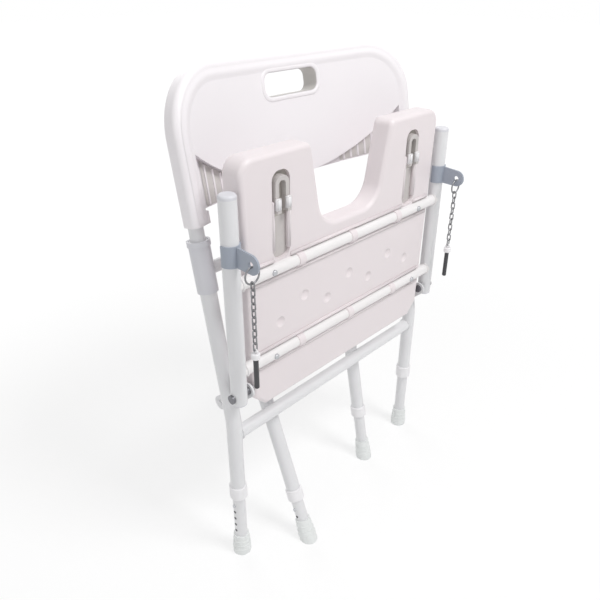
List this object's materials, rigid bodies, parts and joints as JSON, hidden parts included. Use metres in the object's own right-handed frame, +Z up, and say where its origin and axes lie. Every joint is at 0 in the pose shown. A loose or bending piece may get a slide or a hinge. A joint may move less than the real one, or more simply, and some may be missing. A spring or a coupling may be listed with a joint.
{
  "type": "folding shower chair",
  "caption": "Folding shower chair with a backrest, stored folded: tube frame, cut-out moulded seat, height-adjustable legs and tethered lock pins.",
  "frame": {"origin": "middle of the folded chair's footprint, on the floor", "axes": "+Z up, +Y towards the back of the chair, +X to the sitter's left"},
  "size_m": [0.524, 0.2286, 0.813],
  "materials": {
    "seat_plastic": "moulded satin",
    "back_plastic": "moulded satin",
    "grey_plastic": "moulded satin",
    "tube_paint": "pale powder coat",
    "plate_paint": "satin",
    "pin_black": "black",
    "steel": "plain",
    "foot_rubber": "matt"
  },
  "bodies": {
    "rear_frame": {"frame_tube_left": "tube_paint", "frame_tube_right": "tube_paint", "sleeve_left": "grey_plastic", "sleeve_right": "grey_plastic", "sleeve_ring_left": "grey_plastic", "sleeve_ring_right": "grey_plastic", "lower_cross_tube": "tube_paint", "rear_cross_tube": "tube_paint", "gusset_left": "steel", "gusset_right": "steel", "pivot_rod": "steel", "collar_outer_left": "grey_plastic", "collar_outer_right": "grey_plastic"},
    "backrest": {"back_shell": "back_plastic", "back_stub_left": "tube_paint", "back_stub_right": "tube_paint"},
    "seat": {"seat_panel": "seat_plastic", "rail_left": "tube_paint", "rail_right": "tube_paint", "rail_cap_left": "grey_plastic", "rail_cap_right": "grey_plastic", "hinge_pin_left": "steel", "hinge_pin_right": "steel", "seat_tube_front": "tube_paint", "seat_tube_rear": "tube_paint", "seat_clip_left": "seat_plastic", "seat_clip_right": "seat_plastic", "seat_screws": "steel", "lock_plate_left": "plate_paint", "lock_plate_right": "plate_paint"},
    "inner_leg_left": {"inner_leg_left": "tube_paint", "inner_plug_left": "grey_plastic", "collar_inner_left": "grey_plastic"},
    "tether_left": {"tether_ring_left": "steel", "chain_left": "steel", "pin_stop_left": "grey_plastic", "lock_pin_left": "pin_black"},
    "inner_leg_right": {"inner_leg_right": "tube_paint", "inner_plug_right": "grey_plastic", "collar_inner_right": "grey_plastic"},
    "tether_right": {"tether_ring_right": "steel", "chain_right": "steel", "pin_stop_right": "grey_plastic", "lock_pin_right": "pin_black"},
    "extension_outer_left": {"insert_outer_left": "tube_paint", "foot_outer_left": "foot_rubber"},
    "button_outer_left": {"button_outer_left": "steel"},
    "extension_outer_right": {"insert_outer_right": "tube_paint", "foot_outer_right": "foot_rubber"},
    "button_outer_right": {"button_outer_right": "steel"},
    "extension_inner_left": {"insert_inner_left": "tube_paint", "foot_inner_left": "foot_rubber"},
    "button_inner_left": {"button_inner_left": "steel"},
    "extension_inner_right": {"insert_inner_right": "tube_paint", "foot_inner_right": "foot_rubber"},
    "button_inner_right": {"button_inner_right": "steel"}
  },
  "joints": [
    {"name": "seat_fold", "type": "hinge", "parent": "rear_frame", "child": "seat", "pos_m": [0, -0.0516, 0.364], "axis": [1, 0, 0], "range_deg": [0, 90]},
    {"name": "backrest_lift", "type": "slide", "parent": "rear_frame", "child": "backrest", "axis": [0, 0.1736, 0.9848], "range_m": [0, 0.06]},
    {"name": "inner_leg_left_swing", "type": "hinge", "parent": "rear_frame", "child": "inner_leg_left", "pos_m": [-0.14, 0.0204, 0.3], "axis": [-1, 0, 0], "range_deg": [0, 9.5]},
    {"name": "tether_left_hang", "type": "hinge", "parent": "seat", "child": "tether_left", "pos_m": [-0.246, -0.0926, 0.5901], "axis": [1, 0, 0], "range_deg": [-90, 5]},
    {"name": "inner_leg_right_swing", "type": "hinge", "parent": "rear_frame", "child": "inner_leg_right", "pos_m": [0.098, 0.0204, 0.3], "axis": [-1, 0, 0], "range_deg": [0, 19.5]},
    {"name": "tether_right_hang", "type": "hinge", "parent": "seat", "child": "tether_right", "pos_m": [0.246, -0.0926, 0.5901], "axis": [1, 0, 0], "range_deg": [-90, 5]},
    {"name": "extension_outer_left_slide", "type": "slide", "parent": "rear_frame", "child": "extension_outer_left", "axis": [0, 0, -1], "range_m": [0, 0.05]},
    {"name": "button_outer_left_press", "type": "slide", "parent": "extension_outer_left", "child": "button_outer_left", "axis": [1, 0, 0], "range_m": [0, 0.0026], "stiffness_N_per_m": 300},
    {"name": "extension_outer_right_slide", "type": "slide", "parent": "rear_frame", "child": "extension_outer_right", "axis": [0, 0, -1], "range_m": [0, 0.05]},
    {"name": "button_outer_right_press", "type": "slide", "parent": "extension_outer_right", "child": "button_outer_right", "axis": [-1, 0, 0], "range_m": [0, 0.0026], "stiffness_N_per_m": 300},
    {"name": "extension_inner_left_slide", "type": "slide", "parent": "inner_leg_left", "child": "extension_inner_left", "axis": [0, -0.3649, -0.9311], "range_m": [0, 0.05]},
    {"name": "button_inner_left_press", "type": "slide", "parent": "extension_inner_left", "child": "button_inner_left", "axis": [1, 0, 0], "range_m": [0, 0.0026], "stiffness_N_per_m": 300},
    {"name": "extension_inner_right_slide", "type": "slide", "parent": "inner_leg_right", "child": "extension_inner_right", "axis": [0, -0.1925, -0.9813], "range_m": [0, 0.05]},
    {"name": "button_inner_right_press", "type": "slide", "parent": "extension_inner_right", "child": "button_inner_right", "axis": [-1, 0, 0], "range_m": [0, 0.0026], "stiffness_N_per_m": 300}
  ],
  "couplings": [
    {"joint": "tether_left_hang", "follows": "seat_fold", "ratio": -1},
    {"joint": "tether_right_hang", "follows": "seat_fold", "ratio": -1}
  ]
}
